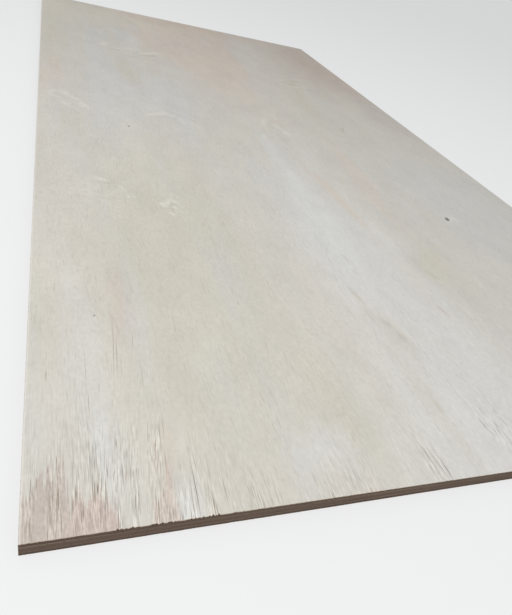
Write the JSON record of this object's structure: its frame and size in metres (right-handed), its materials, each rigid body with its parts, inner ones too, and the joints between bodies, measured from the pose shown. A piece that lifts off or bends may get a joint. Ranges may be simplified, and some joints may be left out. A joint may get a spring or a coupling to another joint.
{
  "type": "plywood sheet",
  "caption": "Flat rectangular plywood sheet of cross-laminated veneer plies with pale sanded faces, for sheathing, floors and furniture.",
  "frame": {"origin": "centre of the bottom face, which lies on the floor", "axes": "+X across the width, +Y along the length and the grain of the face, +Z out of the face side"},
  "size_m": [1.22, 2.44, 0.018],
  "materials": {
    "face_veneer": "matte",
    "back_veneer": "matte",
    "crossband": "matte",
    "long_core": "matte"
  },
  "bodies": {
    "root": {"face_veneer": "face_veneer", "crossband_upper": "crossband", "long_core_upper": "long_core", "crossband_centre": "crossband", "long_core_lower": "long_core", "crossband_lower": "crossband", "back_veneer": "back_veneer"}
  },
  "joints": []
}
